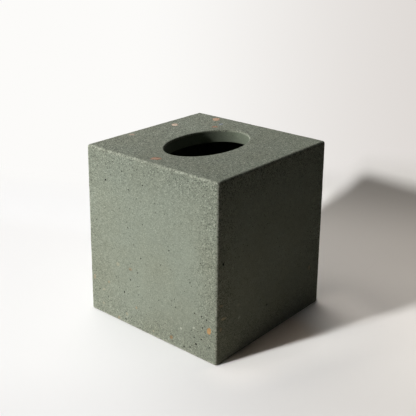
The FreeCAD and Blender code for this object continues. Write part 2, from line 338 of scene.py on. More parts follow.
def carve(piece, cutter):
    """Take a cutter's shape out of a piece and throw the cutter away."""
    volume_before = volume(piece)
    cut = piece.modifiers.new("carve", "BOOLEAN")
    cut.operation = "DIFFERENCE"
    cut.solver = "EXACT"
    cut.object = cutter
    make_active(piece)
    bpy.ops.object.modifier_apply(modifier=cut.name)
    discard(cutter)
    if not 0 < volume(piece) < volume_before:
        raise RuntimeError(f"carving spoiled {piece.name}")


def volume(piece):
    """The volume that a closed mesh encloses."""
    mesh = bmesh.new()
    mesh.from_mesh(piece.data)
    enclosed = mesh.calc_volume(signed=True)
    mesh.free()
    return enclosed


# The casting


class Block:
    """The drafted block that the casting starts from: its planes and how far a point lies inside them."""

    def __init__(self, shape):
        self.low = CASTING_LOW.z
        self.top = CASTING_HIGH.z
        self.half = Vector((shape.width / 2, shape.depth / 2))
        self.lean = math.tan(shape.draft)

    def half_at(self, height):
        """Half the width and half the depth at a height."""
        shrink = (height - self.low) * self.lean
        return Vector((self.half.x - shrink, self.half.y - shrink))

    def inside(self, point):
        """How far a point lies inside the nearer wall along X, the nearer wall along Y and the top."""
        half = self.half_at(point.z)
        return half.x - abs(point.x), half.y - abs(point.y), self.top - point.z

    def way_out(self, side):
        """The way out of a side, square to its lean."""
        return (SIDES[side][1] + UP * self.lean).normalized()

    def on_side(self, side, along, height):
        """A point on a side, and the way out of it there."""
        way, out = SIDES[side]
        half = self.half_at(height)
        reach = half.x if out.x else half.y
        return way * along + out * reach + UP * height, self.way_out(side)


def drafted_block(name, half_low, half_high, low, high):
    """A block that narrows from one height to another."""
    clear_selection()
    bpy.ops.mesh.primitive_cube_add(size=1)
    bpy.context.object.scale = (2 * half_low.x, 2 * half_low.y, high - low)
    bpy.context.object.location.z = (low + high) / 2
    piece = added(name)
    with editing(piece, "FACE"):
        pick(piece, "faces", lambda face: face.normal.z > ROUGHLY)
        bpy.ops.transform.resize(value=(half_high.x / half_low.x, half_high.y / half_low.y, 1))
    return piece


def upright(edge):
    start, end = (vert.co for vert in edge.verts)
    return abs(end.z - start.z) > ROUGHLY * edge.calc_length()


def at_height(edge, height):
    return all(abs(vert.co.z - height) < SAME_PLACE for vert in edge.verts)


def edge_in_flat(edge):
    """Whether the faces on both sides of an edge lie in one plane."""
    return edge.calc_face_angle(0) < FLAT_ANGLE


def worn_block(shape, block):
    """The outer block with edges whose rounding changes along their length, as wear and grinding leave it."""
    half_top = block.half_at(block.top)
    piece = drafted_block("cement_casting", block.half, half_top, block.low, block.top)
    # A quarter of the rim's area. Each flat is larger than this and each strip of the rounding smaller.
    large = block.half.x * block.half.y

    def is_flat(face):
        return face.calc_area() > large and face.normal.z > -ROUGHLY

    def is_rounding(edge):
        return edge.calc_length() > block.half.x and not at_height(edge, block.low)

    with editing(piece):
        pick(piece, "edges", lambda edge: not at_height(edge, block.low))
        bpy.ops.mesh.bevel(offset=shape.arris, offset_type="OFFSET", segments=4, profile=0.5, affect="EDGES")
        pick(piece, "faces", is_flat)
        bpy.ops.mesh.delete(type="ONLY_FACE")
        pick(piece, "edges", is_rounding)
        bpy.ops.mesh.subdivide(number_cuts=EDGE_CUTS)
        wear_edges(piece, shape, block)
        for wanted in flat_tests(block):
            pick(piece, "edges", lambda edge: edge.is_boundary and wanted(edge))
            bpy.ops.mesh.edge_face_add()
        face_outwards()
    return piece


def flat_tests(block):
    """One test for each flat of the block: whether an edge lies in it."""
    def in_plane(axis, sign):
        def test(edge):
            for vert in edge.verts:
                if block.inside(vert.co)[axis] > SAME_PLACE or vert.co[axis] * sign < 0:
                    return False
            return True
        return test

    return [in_plane(0, 1), in_plane(0, -1), in_plane(1, 1), in_plane(1, -1), in_plane(2, 1)]


def wear_edges(piece, shape, block):
    """Draw the rounded strips in towards the sharp edge by a share that wanders along it."""
    reach = 1.05 * shape.arris
    half_top = block.half_at(block.top)
    mesh = bmesh.from_edit_mesh(piece.data)
    for vert in mesh.verts:
        point = vert.co
        near_x, near_y, near_top = (distance < reach for distance in block.inside(point))
        if near_x + near_y + near_top < 2:
            continue
        half = block.half_at(point.z)
        sharp = point.copy()
        if near_top:
            half = half_top
            sharp.z = block.top
        if near_x:
            sharp.x = math.copysign(half.x, point.x)
        if near_y:
            sharp.y = math.copysign(half.y, point.y)
        from_corner = max(block.inside(sharp))
        vert.co = sharp + (point - sharp) * wear_at(sharp, from_corner, shape.sharpest)
    bmesh.update_edit_mesh(piece.data)


def wear_at(point, from_corner, least):
    """The share of the full rounding that an edge has at a point: all of it at a corner, less elsewhere."""
    slow = noise.noise(point * SLOW_WAVES)
    quick = noise.noise(point * QUICK_WAVES + Vector((3, 5, 7)))
    corner = max(0, 1 - from_corner / CORNER_WEAR)
    share = USUAL_WEAR + ADDED_AT_CORNER * corner + SLOW_WEAR * slow + QUICK_WEAR * quick
    return min(1, max(least, share))


def cavity_cutter(shape, block):
    """The hollow inside: narrowing upwards, with rounded corners and a cove under the ceiling."""
    low, high = block.low - 2 * SPARE, block.top - shape.ceiling
    inset = Vector((shape.wall, shape.wall))
    half_low, half_high = block.half_at(low) - inset, block.half_at(high) - inset
    cutter = drafted_block("cavity_cutter", half_low, half_high, low, high)
    with editing(cutter):
        pick(cutter, "edges", upright)
        bpy.ops.mesh.bevel(offset=shape.corner, offset_type="OFFSET", segments=8, affect="EDGES")
        pick(cutter, "edges", lambda edge: at_height(edge, high))
        bpy.ops.mesh.bevel(offset=shape.cove, offset_type="OFFSET", segments=5, affect="EDGES")
    return cutter


def mouth_cutter(shape, block):
    """The oval mouth, flared at both ends so that the edges it leaves are rounded."""
    half = Vector((shape.mouth_width / 2, shape.mouth_length / 2))
    steps = 5
    turns = [math.pi / 2 * step / steps for step in range(steps + 1)]
    flare = [(shape.lip * (1 - math.sin(turn)), shape.lip * (1 - math.cos(turn))) for turn in turns]
    underside = block.top - shape.ceiling
    rings = [(shape.lip, block.top + SPARE)]
    rings += [(wider, block.top - lower) for wider, lower in flare]
    rings += [(wider, underside + lower) for wider, lower in reversed(flare)]
    rings += [(shape.lip, underside - SPARE)]

    clear_selection()
    bpy.ops.mesh.primitive_circle_add(vertices=144, radius=1, fill_type="NGON")
    bpy.context.object.scale = (half.x + rings[0][0], half.y + rings[0][0], 1)
    bpy.context.object.location.z = rings[0][1]
    cutter = added("mouth_cutter")
    with editing(cutter):
        bpy.ops.mesh.select_all(action="SELECT")
        for (wide, high), (next_wide, next_high) in zip(rings, rings[1:]):
            extrude((0, 0, next_high - high))
            stretch = ((half.x + next_wide) / (half.x + wide), (half.y + next_wide) / (half.y + wide), 1)
            bpy.ops.transform.resize(value=stretch)
        face_outwards()
    return cutter


def socket_cutter(shape, block):
    """The four round sockets that the feet sit in."""
    cutters = []
    floor = block.low - SPARE
    for name in FOOT_NODES:
        low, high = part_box(name)
        middle = (low + high) / 2
        clear_selection()
        bpy.ops.mesh.primitive_cylinder_add(
            vertices=48,
            radius=(high.x - low.x) / 2 + shape.socket_slack,
            depth=high.z - floor,
            location=(middle.x, middle.y, (floor + high.z) / 2),
        )
        cutters.append(added(f"{name}_socket"))
    return joined(cutters, "socket_cutter")


def bubble(name):
    """A lumpy bubble of radius 1, as air leaves it in wet cement."""
    clear_selection()
    bpy.ops.mesh.primitive_ico_sphere_add(subdivisions=2, radius=1)
    piece = added(name)
    with editing(piece, "VERT"):
        bpy.ops.mesh.select_all(action="SELECT")
        bpy.ops.transform.vertex_random(offset=0.12, seed=4)
    return piece


def bubble_cutter(name, bubbles):
    """Copies of one bubble, each at its place with its three radii and its turn."""
    first = bubble(name)
    copies = []
    for place, radii, turn in bubbles:
        copy = twin(first)
        copy.data.transform(Matrix.LocRotScale(place, turn, radii))
        copies.append(copy)
    discard(first)
    return joined(copies, name)


def crowded(point, spots, gap):
    """Whether a point comes closer than a gap to one of several spots, each given with its radius."""
    return any((point - spot).length < radius + gap for spot, radius in spots)


def pit_bubbles(shape, block):
    """Places and sizes of the air pits: the seen ones, and a scatter over the five outer faces."""
    rng = random.Random(PIT_SEED)
    placed = []
    stones = [stone_ball(name) for name in CHIP_NODES]

    def put(point, normal, radius, sink):
        """Add a pit unless it would run into a stone or another pit."""
        pits = [(spot, max(radii)) for spot, radii, _ in placed]
        if crowded(point, stones, radius + PIT_TO_CHIP) or crowded(point, pits, radius + PIT_TO_PIT):
            return
        radii = Vector(radius * rng.uniform(0.85, 1.15) for _ in range(3))
        spin = Matrix.Rotation(rng.uniform(0, PIT_SPIN), 3, "Z").to_quaternion()
        placed.append((point - normal * radius * sink, radii, normal.to_track_quat("Z", "Y") @ spin))

    for side, rows in SEEN_PITS.items():
        for along, height, radius in rows:
            point, normal = block.on_side(side, along * MM, height * MM)
            put(point, normal, radius * MM, SEEN_PIT_SINK)
    rise = block.top - block.low - 2 * PIT_MARGIN
    for side in SIDES:
        for _ in range(shape.pits):
            height = block.low + PIT_MARGIN + rise * rng.random() ** PITS_LOW_DOWN
            half = block.half_at(height).x - PIT_MARGIN
            point, normal = block.on_side(side, rng.uniform(-half, half), height)
            put(point, normal, pit_radius(rng), rng.uniform(LEAST_PIT_SINK, MOST_PIT_SINK))
    half = block.half_at(block.top) - Vector((PIT_MARGIN, PIT_MARGIN))
    for _ in range(shape.pits):
        point = Vector((rng.uniform(-half.x, half.x), rng.uniform(-half.y, half.y), block.top))
        clear_x = point.x / (shape.mouth_width / 2 + PIT_MARGIN)
        clear_y = point.y / (shape.mouth_length / 2 + PIT_MARGIN)
        if math.hypot(clear_x, clear_y) > 1:
            put(point, UP, pit_radius(rng), rng.uniform(LEAST_PIT_SINK, MOST_PIT_SINK))
    return placed


def pit_radius(rng):
    """Most pits are pinholes and a few are broad."""
    return (0.3 + 0.42 * rng.random() ** 2) * MM


def stone_ball(name):
    """The middle of a chip and half of its greatest reach."""
    low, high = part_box(name)
    return (low + high) / 2, (high - low).length / 2


def nick_bubbles(shape, block):
    """Places and sizes of small bites out of the top edges and the upright edges."""
    rng = random.Random(NICK_SEED)
    placed = []
    half_top = block.half_at(block.top)
    stones = [stone_ball(name) for name in CHIP_NODES]
    for corner, following in zip(CORNERS, (*CORNERS[1:], CORNERS[0])):
        starts = []
        for _ in range(shape.nicks):
            along = corner.lerp(following, rng.uniform(0.03, 0.97))
            starts.append(Vector((along.x * half_top.x, along.y * half_top.y, block.top)))
            height = block.low + (block.top - block.low) * rng.uniform(0.04, 0.96)
            half = block.half_at(height)
            starts.append(Vector((corner.x * half.x, corner.y * half.y, height)))
        for sharp in starts:
            radius = rng.uniform(0.5, 1.1) * MM
            radii = Vector((radius * rng.uniform(0.7, 1.1), radius * rng.uniform(0.7, 1.1), radius))
            nicks = [(spot, 0) for spot, _, _ in placed]
            if not crowded(sharp, stones, NICK_GAP) and not crowded(sharp, nicks, NICK_GAP):
                axis = Vector((rng.uniform(-1, 1), rng.uniform(-1, 1), rng.uniform(-1, 1)))
                placed.append((sharp, radii, axis.to_track_quat("Z", "Y")))
    return placed


def bed_cutter(chips, block):
    """The beds of the chips: the outline of each one's ground face, drawn out both ways."""
    cutters = []
    for chip in chips:
        cutter = twin(chip)
        out = chip_way_out(chip.name, block)
        with editing(cutter, "FACE"):
            pick(cutter, "faces", lambda face: face.normal.dot(out) < SAME_WAY)
            bpy.ops.mesh.delete(type="FACE")
            bpy.ops.mesh.select_all(action="SELECT")
            bpy.ops.transform.translate(value=-out * BED_DEPTH)
            extrude(out * (BED_DEPTH + SPARE))
            face_outwards()
        cutters.append(cutter)
    return joined(cutters, "bed_cutter")


def shade_flats(piece, block):
    """Shade the casting smooth, and its flats flat, so that no rounding spreads over them."""
    outer = [block.way_out(side) for side in SIDES]
    flats = [*outer, *(-way for way in outer), UP, -UP]
    with editing(piece, "FACE"):
        bpy.ops.mesh.select_all(action="SELECT")
        bpy.ops.mesh.faces_shade_smooth()
        pick(piece, "faces", lambda face: any(face.normal.dot(way) > 1 - SAME_PLACE for way in flats))
        bpy.ops.mesh.faces_shade_flat()


class COVER_OT_cement_casting(bpy.types.Operator):
    """Model the worn cement casting around the casting's solid and give it its finish"""

    bl_idname = "cover.cement_casting"
    bl_label = "Cement casting"
    bl_options = {"REGISTER", "UNDO"}

    def execute(self, context):
        shape = shape_of(context)
        block = Block(shape)
        chips = [bpy.data.objects[f"{name}_stone"] for name in CHIP_NODES]
        casting = worn_block(shape, block)
        carve(casting, cavity_cutter(shape, block))
        carve(casting, mouth_cutter(shape, block))
        with editing(casting):
            pick(casting, "edges", lambda edge: at_height(edge, block.low) and not edge_in_flat(edge))
            bpy.ops.mesh.bevel(offset=shape.rim_arris, offset_type="OFFSET", segments=2, affect="EDGES")
        carve(casting, socket_cutter(shape, block))
        carve(casting, bed_cutter(chips, block))
        carve(casting, bubble_cutter("pit_cutter", pit_bubbles(shape, block)))
        carve(casting, bubble_cutter("nick_cutter", nick_bubbles(shape, block)))
        shade_flats(casting, block)
        finish_piece(casting, cement_material(shape, block, colours_of(context)), "tinted_cement", CASTING)
        return {"FINISHED"}


def finish_piece(piece, material, slot, *nodes):
    """Give a modelled piece its material and its body, and hide the solids that it stands for; the slot is
    not used.
    """
    piece.data.materials.clear()
    piece.data.materials.append(material)
    for face in piece.data.polygons:
        face.material_index = 0
    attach(piece, BODY)
    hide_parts(*nodes)


# The stone chips


def chip_way_out(name, block):
    """The way out of the face that a chip is ground flush with."""
    face = name.split("_")[0]
    return UP if face == "top" else block.way_out(face)


def chip_stone(name):
    """The kind of stone in a chip's name."""
    return name.split("_")[1]


def broken_chip(name, raggedness, block, rng):
    """A chip with the solid's outline, broken unevenly between its corners."""
    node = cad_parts[name]
    chip = bpy.data.objects.new(f"{name}_stone", node.data.copy())
    bpy.context.collection.objects.link(chip)
    out = chip_way_out(name, block)

    def ground(face):
        return face.normal.dot(out) > SAME_WAY

    with editing(chip):
        bpy.ops.mesh.select_all(action="SELECT")
        bpy.ops.mesh.remove_doubles(threshold=SAME_PLACE)
        bpy.ops.mesh.dissolve_limited(angle_limit=FLAT_ANGLE)
        pick(chip, "edges", lambda edge: any(ground(face) for face in edge.link_faces))
        bpy.ops.mesh.subdivide(number_cuts=3)
        roughen_outline(chip, ground, out, raggedness, rng)
    return chip


def roughen_outline(chip, ground, out, raggedness, rng):
    """Move the outline's vertices within the ground face, by a share of the way to the next ones."""
    mesh = bmesh.from_edit_mesh(chip.data)
    face = next(face for face in mesh.faces if ground(face))
    outline = list(face.verts)
    places = [vert.co.copy() for vert in outline]
    for index, vert in enumerate(outline):
        before, here = places[index - 1], places[index]
        after = places[(index + 1) % len(places)]
        room = min((before - here).length, (after - here).length)
        turn = rng.uniform(0, 2 * math.pi)
        along = (after - before).normalized()
        across = out.cross(along)
        vert.co = here + (along * math.cos(turn) + across * math.sin(turn)) * room * raggedness
    bmesh.update_edit_mesh(chip.data)


class COVER_OT_stone_chips(bpy.types.Operator):
    """Break the outlines of the stone chips and give each kind of stone its finish"""

    bl_idname = "cover.stone_chips"
    bl_label = "Stone chips"
    bl_options = {"REGISTER", "UNDO"}

    def execute(self, context):
        shape = shape_of(context)
        block = Block(shape)
        rng = random.Random(CHIP_SEED)
        finishes = {}
        for name in CHIP_NODES:
            chip = broken_chip(name, shape.raggedness, block, rng)
            material = chip_finish(name, colours_of(context), finishes)
            finish_piece(chip, material, f"{chip_stone(name)}_stone", name)
        return {"FINISHED"}


def chip_finish(name, colours, finishes):
    """The material of a chip: bare stone in the top and where it is broad, filmed with cement elsewhere."""
    low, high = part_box(name)
    on_top = name.startswith("top_")
    kind = chip_stone(name)
    if not on_top:
        kind = SIDE_STONES.get(kind, kind)
    kind = ODD_STONES.get(name, kind)
    if on_top or name in ODD_STONES or max(high - low) > BARE_CHIP:
        label = f"{kind}_stone"
        film = 0.0 if on_top else BARE_FILM
    else:
        label = f"{kind}_stone_filmed"
        film = FULL_FILM
    if label not in finishes:
        finishes[label] = stone_material(label, Vector(getattr(colours, kind)), film, colours.cement)
    return finishes[label]


# The feet


class COVER_OT_cork_feet(bpy.types.Operator):
    """Give the feet their cork"""

    bl_idname = "cover.cork_feet"
    bl_label = "Cork feet"
    bl_options = {"REGISTER", "UNDO"}

    def execute(self, context):
        cork = cork_material(Vector(colours_of(context).cork))
        for name in FOOT_NODES:
            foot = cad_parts[name]
            foot.data.materials.clear()
            foot.data.materials.append(cork)
        return {"FINISHED"}


# Materials


class Graph:
    """A node tree with short ways to add nodes. An input is a number, a colour or another node's output."""

    def __init__(self, tree):
        self.tree = tree

    def add(self, kind, inputs=(), **settings):
        """Add a node, set its properties, then its inputs by name or number."""
        node = self.tree.nodes.new(kind)
        for name, value in settings.items():
            setattr(node, name, value)
        for key, value in dict(inputs).items():
            self.feed(node.inputs[key], value)
        return node

    def feed(self, socket, value):
        """Link an output to a socket, or set the socket to a value."""
        if isinstance(value, bpy.types.NodeSocket):
            self.tree.links.new(value, socket)
        else:
            socket.default_value = value

    def math(self, operation, *values, clamp=False):
        node = self.add("ShaderNodeMath", enumerate(values), operation=operation, use_clamp=clamp)
        return node.outputs[0]

    def plus(self, first, second):
        return self.math("ADD", first, second)

    def minus(self, first, second):
        return self.math("SUBTRACT", first, second)

    def least(self, first, second):
        return self.math("MINIMUM", first, second)

    def most(self, first, second):
        return self.math("MAXIMUM", first, second)

    def times(self, product, *factors):
        """Several values multiplied in turn."""
        for factor in factors:
            product = self.math("MULTIPLY", product, factor)
        return product

    def line(self, value, slope, start, clamp=False):
        """A value times a slope, on top of a start."""
        return self.math("MULTIPLY_ADD", value, slope, start, clamp=clamp)

    def smooth(self, value, start, end, low=0.0, high=1.0):
        """Brought smoothly from low to high as a value goes from start to end."""
        inputs = {"Value": value, "From Min": start, "From Max": end, "To Min": low, "To Max": high}
        return self.add("ShaderNodeMapRange", inputs, interpolation_type="SMOOTHSTEP").outputs[0]

    def fade(self, value, start, end, high=1.0):
        """Brought smoothly from high to 0 as a value goes from start to end."""
        return self.smooth(value, start, end, high, 0.0)

    def band(self, value, start, full, fading, end):
        """1 where a value lies between full and fading, smoothly 0 before start and after end."""
        return self.times(self.smooth(value, start, full), self.fade(value, fading, end))

    def vector(self, operation, *values):
        """A vector made from vectors."""
        return self.add("ShaderNodeVectorMath", enumerate(values), operation=operation).outputs["Vector"]

    def measure(self, operation, *values):
        """A number measured on vectors."""
        return self.add("ShaderNodeVectorMath", enumerate(values), operation=operation).outputs["Value"]

    def axes(self, place):
        """The three parts of a vector."""
        return self.add("ShaderNodeSeparateXYZ", {0: place}).outputs

    def mix(self, share, first, second, blend="MIX"):
        """Two colours mixed. The node keeps sockets for each kind of data, so its colours go by number."""
        inputs = {0: share, 6: first, 7: second}
        return self.add("ShaderNodeMix", inputs, data_type="RGBA", blend_type=blend).outputs[2]

    def mix_shaders(self, share, first, second):
        """Two shaders mixed."""
        return self.add("ShaderNodeMixShader", {0: share, 1: first, 2: second}).outputs[0]

    def noise(self, place, scale, detail, roughness):
        inputs = {"Vector": place, "Scale": scale, "Detail": detail, "Roughness": roughness}
        return self.add("ShaderNodeTexNoise", inputs).outputs["Fac"]

    def cells(self, place, scale):
        """Scattered cells: the distance from each one's middle, and a random number for each."""
        node = self.add("ShaderNodeTexVoronoi", {"Vector": place, "Scale": scale}, feature="F1")
        split = self.add("ShaderNodeSeparateColor", {0: node.outputs["Color"]})
        return node.outputs["Distance"], split.outputs[0]


def cleared_graph(owner):
    """The emptied node tree of a material or a world."""
    owner.use_nodes = True
    graph = Graph(owner.node_tree)
    graph.tree.nodes.clear()
    return graph


def pattern_place(graph):
    """Where a point of the piece lies, which patterns go by."""
    return graph.add("ShaderNodeTexCoord").outputs["Object"]


def new_material(name):
    """A material with a bare shader: its graph, where its pattern lies, its shader and itself."""
    material = bpy.data.materials.new(name)
    graph = cleared_graph(material)
    shader = graph.add("ShaderNodeBsdfPrincipled")
    graph.add("ShaderNodeOutputMaterial", {"Surface": shader.outputs[0]})
    return graph, pattern_place(graph), shader, material


def set_surface(graph, shader, body, roughness, relief, strength, depth, gloss=0.5):
    """Give a shader its colour, its roughness, the fine relief of its surface and its even gloss."""
    bump = graph.add("ShaderNodeBump", {"Strength": strength, "Distance": depth, "Height": relief})
    graph.feed(shader.inputs["Base Color"], body)
    graph.feed(shader.inputs["Roughness"], roughness)
    graph.feed(shader.inputs["Normal"], bump.outputs[0])
    shader.inputs["Specular IOR Level"].default_value = gloss


def colour(value):
    """A colour setting or a vector as a shader's colour."""
    return (*value, 1.0)


def grey_of(graph, value):
    """A value as a grey."""
    return graph.add("ShaderNodeCombineColor", {0: value, 1: value, 2: value}).outputs[0]


def new_group(name, inputs, outputs):
    """An empty shader group with named sockets: its graph, its inputs and its output node."""
    tree = bpy.data.node_groups.new(name, "ShaderNodeTree")
    for label, kind, default in inputs:
        socket = tree.interface.new_socket(label, in_out="INPUT", socket_type=kind)
        if default is not None:
            socket.default_value = default
    for label, kind in outputs:
        tree.interface.new_socket(label, in_out="OUTPUT", socket_type=kind)
    graph = Graph(tree)
    return graph, graph.add("NodeGroupInput").outputs, graph.add("NodeGroupOutput").inputs


def grain_group():
    """Sand grains: masks of pale and of dark grains, a tone for each grain, and the height of the surface."""
    name = "sand_grains"
    if name in bpy.data.node_groups:
        return bpy.data.node_groups[name]
    graph, given, result = new_group(
        name,
        [
            ("Place", "NodeSocketVector", None),
            ("Scale", "NodeSocketFloat", 1000.0),
            ("Pale share", "NodeSocketFloat", 0.1),
            ("Dark share", "NodeSocketFloat", 0.1),
        ],
        [(label, "NodeSocketFloat") for label in GRAIN_OUTPUTS],
    )
    distance, chance = graph.cells(given["Place"], given["Scale"])
    grain = graph.fade(distance, 0.3, 0.6)
    pale = graph.math("GREATER_THAN", chance, graph.minus(1.0, given["Pale share"]))
    dark = graph.math("LESS_THAN", chance, given["Dark share"])
    graph.feed(result["Pale"], graph.times(pale, grain))
    graph.feed(result["Dark"], graph.times(dark, grain))
    graph.feed(result["Tone"], graph.minus(chance, 0.5))
    fine = graph.noise(given["Place"], graph.times(given["Scale"], 2.3), 2.0, 0.6)
    graph.feed(result["Height"], graph.plus(graph.times(grain, chance), fine))
    return graph.tree


def grains(graph, place, scale, pale_share, dark_share):
    """Place the sand grains in a material."""
    inputs = {"Place": place, "Scale": scale, "Pale share": pale_share, "Dark share": dark_share}
    node = graph.add("ShaderNodeGroup", inputs, node_tree=grain_group())
    return [node.outputs[label] for label in GRAIN_OUTPUTS]


class CementZones:
    """Where a point lies in the casting, how cloudy, ground or smooth the cement is there, and where shade is
    painted low towards the right.
    """

    def __init__(self, graph, place, block):
        x, y, z = graph.axes(place)
        self.above_rim = graph.minus(z, block.low)
        self.depth_top = graph.minus(block.top, z)
        shrink = graph.times(self.above_rim, block.lean)
        depth_x, depth_y = (
            graph.minus(graph.minus(half, shrink), graph.math("ABSOLUTE", axis))
            for axis, half in ((x, block.half.x), (y, block.half.y))
        )
        self.under = graph.least(graph.least(depth_x, depth_y), self.depth_top)
        self.to_edge = middle_of(graph, depth_x, depth_y, graph.least(self.depth_top, self.above_rim))
        self.to_right = graph.minus(block.half.x, x)

        self.clouds = graph.noise(place, 26, 3, 0.55)
        self.patches = graph.noise(place, 95, 3, 0.6)
        self.blotches = graph.noise(place, 330, 2, 0.6)

        self.as_cast = graph.smooth(self.under, 1.1 * MM, 2.0 * MM)
        self.on_top = graph.fade(self.depth_top, 1 * MM, 3 * MM)
        self.leftward = graph.smooth(self.to_right, 70 * MM, 135 * MM)
        self.ground = self.ground_share(graph)
        # Painted shade, darker low down and towards the right side.
        low_down = graph.fade(self.above_rim, 5 * MM, 80 * MM)
        self.low_right_shade = graph.times(low_down, graph.fade(self.to_right, 0.0, 95 * MM))

    def ground_share(self, graph):
        """How far the skin was ground away: on the top, and along the edges in a band that wanders, widens
        towards the floor and the right, and weakens to the left."""
        wander = graph.line(self.patches, 18 * MM, -9 * MM)
        low_down = graph.fade(self.above_rim, 10 * MM, 90 * MM, 5 * MM)
        rightward = graph.fade(self.to_right, 0.0, 45 * MM, 7 * MM)
        edge_reach = graph.minus(graph.plus(self.to_edge, wander), graph.plus(low_down, rightward))
        along_edges = graph.fade(edge_reach, -4 * MM, 22 * MM)
        along_edges = graph.times(along_edges, graph.line(self.leftward, -0.55, 1.0))
        return graph.times(graph.most(along_edges, self.on_top), graph.minus(1.0, self.as_cast))

    def sand_strength(self, graph):
        """How strongly the sand shows: most where the cement was ground, less where shade is painted low
        towards the right, and least where it is as cast.
        """
        strength = graph.line(self.ground, 0.68, 0.44)
        strength = graph.line(self.leftward, 0.28, strength)
        strength = graph.plus(strength, graph.fade(self.depth_top, 15 * MM, 70 * MM, 0.2))
        return graph.times(strength, graph.line(self.low_right_shade, -0.25, 1.0), graph.line(self.as_cast, -0.7, 1.0))

    def tone(self, graph):
        """How bright the cement is without its sand: patchy and darker where it is ground, with painted shade
        over the top and the upper part of each side, low down towards the right, and just above the rim."""
        swing = graph.line(self.ground, -0.14, 0.18)
        return graph.times(
            graph.line(self.patches, 0.16, 0.92),
            graph.line(graph.minus(self.blotches, 0.5), swing, 1.0),
            graph.line(self.ground, -0.05, 0.995),
            # Painted shade: darker over the top and the upper part of each side, low down towards the right,
            # and just above the rim.
            graph.smooth(self.depth_top, 8 * MM, 42 * MM, 0.925, 1.0),
            graph.line(self.low_right_shade, -0.12, 1.0),
            graph.smooth(self.above_rim, 0.0, 55 * MM, 0.95, 1.0),
        )

    def colour(self, graph, colours):
        """The cement's colour without its sand: greyer in clouds and where it is ground, darker as cast,
        partly as painted shade of the dim mouth and cavity.
        """
        greyness = graph.line(self.clouds, 1.6, -0.65)
        greyness = graph.line(self.ground, 0.2, greyness)
        greyness = graph.line(self.on_top, 0.35, greyness, clamp=True)
        body = graph.mix(greyness, colour(colours.cement), colour(colours.cement_grey))
        return graph.mix(self.as_cast, body, colour(colours.cement_cast))


def middle_of(graph, first, second, third):
    """The middle one of three values."""
    low, high = graph.least(first, second), graph.most(first, second)
    return graph.most(low, graph.least(high, third))


def clear_of_mouth(graph, place, shape):
    """1 outside the rounded lip of the mouth, 0 within it."""
    half = Vector((shape.mouth_width / 2 + shape.lip, shape.mouth_length / 2 + shape.lip))
    across = graph.vector("MULTIPLY", place, (1 / half.x, 1 / half.y, 0))
    return graph.smooth(graph.measure("LENGTH", across), 1.0, 1.02)


def cement_material(shape, block, colours):
    """Sage-green cement: cloudy, sandy where it was ground, smooth where it was cast, worn on its edges."""
    graph, place, shader, material = new_material("sage_cement")
    zones = CementZones(graph, place, block)
    light_sand, dark_sand = colour(colours.light_sand), colour(colours.dark_sand)

    pale_share = graph.line(zones.ground, 0.05, 0.03)
    dark_share = graph.line(zones.ground, 0.1, 0.06)
    pale, dark, grain_tone, height = grains(graph, place, 1150, pale_share, dark_share)
    dust_pale, dust_dark, dust_tone, _ = grains(graph, place, 2300, 0.08, 0.1)
    strength = zones.sand_strength(graph)
    tone = zones.tone(graph)
    sandy = graph.line(grain_tone, 0.4, graph.times(dust_tone, 0.62))
    tone = graph.line(graph.times(sandy, strength), tone, tone)
    body = graph.mix(1.0, zones.colour(graph, colours), grey_of(graph, tone), "MULTIPLY")
    body = graph.mix(graph.times(graph.most(pale, dust_pale), strength, 0.42), body, light_sand)
    body = graph.mix(graph.times(graph.most(dark, dust_dark), strength, 0.5), body, dark_sand)

    # Pinholes too small to carve: a dip in the relief, and painted shade in the dark sand's colour.
    hole_distance, hole_chance = graph.cells(place, 300)
    shaded_pinhole = graph.math("LESS_THAN", hole_distance, graph.smooth(hole_chance, 0.4, 1.0, 0.0, 0.15))
    body = graph.mix(graph.times(shaded_pinhole, 0.75), body, dark_sand)

    worn_reach = graph.plus(zones.to_edge, graph.line(zones.blotches, 2.8 * MM, -1.4 * MM))
    worn = graph.times(graph.fade(worn_reach, 0.2 * MM, 2.4 * MM), graph.line(grain_tone, 0.46, 0.26))
    body = graph.mix(worn, body, light_sand)

    # Painted shade over what lies sunk below the faces: the air pits and the inside of the cavity, away from
    # the edges and the mouth.
    sunk = graph.smooth(zones.under, 0.1 * MM, 0.6 * MM)
    off_edge = graph.smooth(zones.to_edge, 2 * MM, 3 * MM)
    sunk_shade = graph.times(sunk, off_edge, clear_of_mouth(graph, place, shape), 0.6)
    body = graph.mix(sunk_shade, body, colour(colours.pit_shade_colour))

    roughness = graph.line(zones.patches, 0.1, graph.line(pale, -0.25, 0.86))
    relief = graph.times(height, graph.line(zones.ground, 0.6, 0.4))
    relief = graph.minus(relief, graph.times(shaded_pinhole, 2.5))
    set_surface(graph, shader, body, roughness, relief, strength=0.7, depth=0.14 * MM, gloss=0.14)
    return material


def stone_material(name, base, film, cement):
    """Broken stone: mottled, finely grained, with open pores, under a film of cement over part of it."""
    graph, place, shader, material = new_material(name)
    light = base.lerp(Vector(STONE_DUST), 0.24)
    mottle = graph.noise(place, 240, 3, 0.6)
    flecks = graph.noise(place, 900, 2, 0.6)
    pale, dark, _, height = grains(graph, place, 2400, 0.1, 0.12)
    body = graph.mix(graph.smooth(mottle, 0.3, 0.75), colour(base * 0.68), colour(base))
    body = graph.mix(graph.smooth(flecks, 0.5, 0.8, 0.0, 0.5), body, colour(light))
    body = graph.mix(graph.times(dark, 0.5), body, colour(base * 0.3))
    body = graph.mix(graph.times(pale, 0.35), body, colour(light))
    smeared = graph.smooth(mottle, 0.2, 0.8, film * 0.7, min(1, film * 1.25))
    body = graph.mix(smeared, body, colour(cement))
    roughness = graph.line(flecks, 0.3, 0.5)
    set_surface(graph, shader, body, roughness, height, strength=0.4, depth=0.06 * MM, gloss=0.2)
    return material


